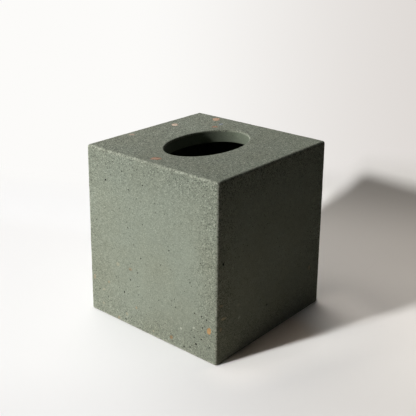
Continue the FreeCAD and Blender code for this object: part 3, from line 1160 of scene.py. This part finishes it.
def cork_material(base):
    """Pressed cork: crumbs of different browns with dark seams."""
    graph, place, shader, material = new_material("pressed_cork")
    distance, chance = graph.cells(place, 900)
    _, dark, _, height = grains(graph, place, 3000, 0.08, 0.12)
    body = graph.mix(chance, colour(base * 0.55), colour(base * 1.25))
    body = graph.mix(graph.smooth(distance, 0.45, 0.75, 0.0, 0.7), body, colour(base * 0.25))
    body = graph.mix(graph.times(dark, 0.6), body, colour(base * 0.2))
    roughness = graph.line(chance, 0.15, 0.8)
    relief = graph.minus(graph.times(height, 0.4), distance)
    set_surface(graph, shader, body, roughness, relief, strength=0.6, depth=0.2 * MM)
    return material


# The studio


def seen_directly(graph):
    """1 for rays that show the background itself or its reflection."""
    path = graph.add("ShaderNodeLightPath").outputs
    mirrored = graph.most(path["Is Glossy Ray"], path["Is Transmission Ray"])
    return graph.most(path["Is Camera Ray"], mirrored)


def tint_by_shadow(graph, place, tint):
    """Painted shadow and light on the floor on both sides of the edge of the cover's shadow, which runs over
    it from the cover's near corner: warm and dark beside the cover, paler where the shadow opens, and
    brighter on the lit side."""
    along_edge = -bearing(KEY_AZIMUTH, 0)
    past_edge = along_edge.cross(UP)
    corner = Vector((CASTING_HIGH.x, CASTING_LOW.y, 0))
    from_corner = graph.vector("SUBTRACT", place, corner)
    past = graph.measure("DOT_PRODUCT", from_corner, past_edge)
    along = graph.measure("DOT_PRODUCT", from_corner, along_edge)
    in_shadow = graph.band(past, -65 * MM, -40 * MM, -4 * MM, 4 * MM)
    lit_side = graph.band(past, -4 * MM, 4 * MM, 8 * MM, 45 * MM)
    beside = graph.band(along, -5 * MM, 20 * MM, 80 * MM, 115 * MM)
    opening = graph.band(along, 85 * MM, 125 * MM, 135 * MM, 175 * MM)
    bright = graph.band(along, -25 * MM, 25 * MM, 70 * MM, 150 * MM)
    tint = graph.mix(graph.times(in_shadow, beside), tint, (0.76, 0.68, 0.6, 1))
    tint = graph.mix(graph.times(in_shadow, opening), tint, (1, 0.98, 0.95, 1))
    return graph.mix(graph.times(lit_side, bright), tint, (1, 0.985, 0.955, 1))


def shade_floor(graph, place, across, height, tint):
    """The lit floor's tint with painted shade up the sweep, most on the right where the cover's shadow falls,
    close to the viewer, and towards the wall on the left; then the painted shadow about the cover.
    """
    nearness = graph.measure("DOT_PRODUCT", place, TO_THE_VIEWER)
    to_wall = (-math.sin(SWEEP_TURN), math.cos(SWEEP_TURN), 0.0)
    depth = graph.measure("DOT_PRODUCT", place, to_wall)
    up_sweep = graph.smooth(height, 8 * MM, 52 * MM)
    close_by = graph.smooth(nearness, 80 * MM, 160 * MM, 0.0, 0.1)
    far_off = graph.smooth(depth, 90 * MM, 175 * MM, 0.0, 0.125)
    shades = (
        (up_sweep, graph.smooth(across, 20 * MM, 120 * MM, 0.2, 0.35)),
        (close_by, graph.smooth(across, -60 * MM, 60 * MM, 0.45, 1.0)),
        (far_off, graph.fade(across, -140 * MM, -20 * MM)),
    )
    for shade, share in shades:
        tint = graph.mix(graph.times(shade, share), tint, BLACK)
    return tint_by_shadow(graph, place, tint)


def floor_material(colours):
    """A pale floor with painted shade that darkens it to the right and painted shadow and light about the
    cover, which glows evenly higher up and throws back less light than it shows. Its back is clear."""
    material = bpy.data.materials.new("studio_floor")
    graph = cleared_graph(material)
    place = pattern_place(graph)
    across = graph.measure("DOT_PRODUCT", place, TO_THE_RIGHT)
    aside = graph.smooth(across, -100 * MM, 260 * MM)
    _, to_back, height = graph.axes(place)

    tint = graph.mix(aside, colour(colours.floor), colour(colours.far_floor))
    tint = shade_floor(graph, place, across, height, tint)
    lit = graph.add("ShaderNodeBsdfDiffuse", {"Color": tint})
    pale = graph.mix(aside, colour(colours.backdrop), colour(colours.far_backdrop))
    glow = graph.add("ShaderNodeEmission", {"Color": pale, "Strength": 1.0})
    lifted = graph.plus(height, graph.fade(across, -120 * MM, 20 * MM, 34 * MM))
    lifted = graph.plus(lifted, graph.fade(across, 140 * MM, 170 * MM, 16 * MM))
    high_up = graph.smooth(lifted, 50 * MM, 78 * MM)
    shown = graph.mix_shaders(high_up, lit.outputs[0], glow.outputs[0])

    far_away = graph.smooth(graph.measure("LENGTH", place), 100 * MM, 400 * MM)
    back = graph.mix(far_away, (0.445, 0.4, 0.345, 1), (0.03, 0.03, 0.03, 1))
    back = graph.mix(graph.smooth(to_back, -80 * MM, 80 * MM, 0.0, 0.6), back, BLACK)
    thrown = graph.add("ShaderNodeBsdfDiffuse", {"Color": back})
    front = graph.mix_shaders(seen_directly(graph), thrown.outputs[0], shown)
    from_behind = graph.add("ShaderNodeNewGeometry").outputs["Backfacing"]
    clear = graph.add("ShaderNodeBsdfTransparent")
    surface = graph.mix_shaders(from_behind, front, clear.outputs[0])
    graph.add("ShaderNodeOutputMaterial", {"Surface": surface})
    return material


def swept_floor():
    """A floor that sweeps up behind the cover into an upright wall, a little turned from the front."""
    start, radius = 95 * MM, 178 * MM
    breadth, reach, rise = 12, 6, 3
    clear_selection()
    bpy.ops.mesh.primitive_plane_add(size=1)
    bpy.context.object.scale = (breadth, reach + start, 1)
    bpy.context.object.location.y = (start - reach) / 2
    floor = added("studio_floor")
    with editing(floor):
        pick(floor, "edges", lambda edge: all(vert.co.y > 0 for vert in edge.verts))
        bpy.ops.mesh.spin(steps=40, angle=-math.pi / 2, center=(0, start, radius), axis=(1, 0, 0))
        extrude((0, 0, rise))
        bpy.ops.mesh.select_all(action="SELECT")
        bpy.ops.mesh.faces_shade_smooth()
    floor.rotation_euler.z = SWEEP_TURN
    bpy.ops.object.transform_apply(rotation=True)
    floor.visible_shadow = False
    return floor


def add_light(name, lamp, way, distance):
    """Hang a lamp at a distance from the middle of the cover and point it there."""
    middle = Vector((0, 0, 0.07))
    light = bpy.data.objects.new(name, lamp)
    light.rotation_mode = "QUATERNION"
    light.rotation_quaternion = (-way).to_track_quat("-Z", "Y")
    light.location = middle + way * distance
    light.visible_camera = False
    lamp.cycles.use_multiple_importance_sampling = False
    bpy.context.collection.objects.link(light)
    return light


def far_light(name, way, spread, white):
    """A far light of an angular size that brings a white surface facing it to a share of white."""
    lamp = bpy.data.lights.new(name, "SUN")
    lamp.angle = math.radians(spread)
    lamp.energy = white * math.pi
    return add_light(name, lamp, way, 1.0)


def near_light(name, way, distance, size, white):
    """A disc light near the cover that brings a white surface facing it there to a share of white."""
    lamp = bpy.data.lights.new(name, "AREA")
    lamp.shape = "DISK"
    lamp.size = size
    lamp.energy = white * math.pi ** 2 * distance ** 2
    return add_light(name, lamp, way, distance)


def link_light(light, piece, state):
    """Let a light reach one object alone, or everything but that object."""
    reached = bpy.data.collections.new(f"{light.name}_reach")
    reached.objects.link(piece)
    reached.collection_objects[0].light_linking.link_state = state
    light.light_linking.receiver_collection = reached


def bearing(azimuth, elevation):
    """The way to a point seen from the middle at an azimuth from the front and an elevation, in degrees."""
    turn, rise = math.radians(azimuth), math.radians(elevation)
    return Vector((math.sin(turn) * math.cos(rise), -math.cos(turn) * math.cos(rise), math.sin(rise)))


def add_lights(floor):
    """The main light, a side and a back light for the cover, and a key and a fill of the floor's own."""
    key_way = bearing(KEY_AZIMUTH, KEY_ELEVATION)
    far_light("key_light", key_way, KEY_SPREAD, white=0.975)
    side = near_light("side_light", bearing(-55, 25), distance=0.4, size=0.25, white=0.4)
    link_light(side, floor, "EXCLUDE")
    back = near_light("back_light", bearing(-125, 24), distance=0.75, size=0.5, white=0.5)
    link_light(back, floor, "EXCLUDE")
    floor_key = far_light("floor_key", key_way, KEY_SPREAD, white=0.305)
    link_light(floor_key, floor, "INCLUDE")
    fill = far_light("floor_fill", bearing(-88, 46), spread=96, white=0.81)
    fill.data.color = (1, 0.94, 0.885)
    link_light(fill, floor, "INCLUDE")


def add_camera():
    """The camera at the photograph's viewing angle, with the slight roll that it was held at."""
    back = bearing(40.35, 21.6)
    target = Vector((0.00105, 0, 0.08757))
    distance = 0.62545
    roll = math.radians(0.576)
    level = (-back).cross(UP).normalized()
    rise = level.cross(-back)
    right = level * math.cos(roll) + rise * math.sin(roll)
    above = rise * math.cos(roll) - level * math.sin(roll)
    lens = bpy.data.cameras.new("photograph")
    lens.sensor_width = 36
    lens.lens = 67.24
    lens.clip_start, lens.clip_end = 0.01, 50
    camera = bpy.data.objects.new("photograph", lens)
    turned = Matrix((right, above, back)).transposed().to_4x4()
    camera.matrix_world = Matrix.Translation(target + back * distance) @ turned
    bpy.context.collection.objects.link(camera)
    bpy.context.scene.camera = camera


def light_world():
    """A dim even light all round, with a pale background where it is looked at."""
    world = bpy.data.worlds.new("studio")
    graph = cleared_graph(world)
    dim = graph.add("ShaderNodeBackground", {"Color": WHITE, "Strength": 0.006})
    pale = graph.add("ShaderNodeBackground", {"Color": (0.9, 0.89, 0.88, 1), "Strength": 1})
    surface = graph.mix_shaders(seen_directly(graph), dim.outputs[0], pale.outputs[0])
    graph.add("ShaderNodeOutputWorld", {"Surface": surface})
    bpy.context.scene.world = world


class COVER_OT_studio(bpy.types.Operator):
    """Set up the floor, the lights, the background and the camera"""

    bl_idname = "cover.studio"
    bl_label = "Studio"
    bl_options = {"REGISTER", "UNDO"}

    def execute(self, context):
        floor = swept_floor()
        floor.data.materials.append(floor_material(colours_of(context)))
        add_lights(floor)
        light_world()
        add_camera()
        context.scene.view_settings.view_transform = "Standard"
        return {"FINISHED"}


class COVER_PT_sidebar(bpy.types.Panel):
    """Sizes, colours and steps of the cover"""

    bl_idname = "COVER_PT_sidebar"
    bl_label = "Cast cover"
    bl_space_type = "VIEW_3D"
    bl_region_type = "UI"
    bl_category = "Cover"

    def draw(self, context):
        for settings in (shape_of(context), colours_of(context)):
            column = self.layout.column()
            for name in settings.bl_rna.properties.keys():
                if name not in ("rna_type", "name"):
                    column.prop(settings, name)
        for operator in OPERATORS:
            self.layout.operator(operator.bl_idname)


OPERATORS = (COVER_OT_stone_chips, COVER_OT_cement_casting, COVER_OT_cork_feet, COVER_OT_studio)
CLASSES = (CoverShape, CoverColours, *OPERATORS, COVER_PT_sidebar)


def register():
    for item in CLASSES:
        bpy.utils.register_class(item)
    bpy.types.Scene.cover_shape = PointerProperty(type=CoverShape)
    bpy.types.Scene.cover_colours = PointerProperty(type=CoverColours)


def unregister():
    del bpy.types.Scene.cover_colours
    del bpy.types.Scene.cover_shape
    for item in reversed(CLASSES):
        bpy.utils.unregister_class(item)


def main():
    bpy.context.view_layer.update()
    register()
    bpy.ops.cover.stone_chips()
    bpy.ops.cover.cement_casting()
    bpy.ops.cover.cork_feet()
    bpy.ops.cover.studio()


if __name__ == "__main__":
    main()
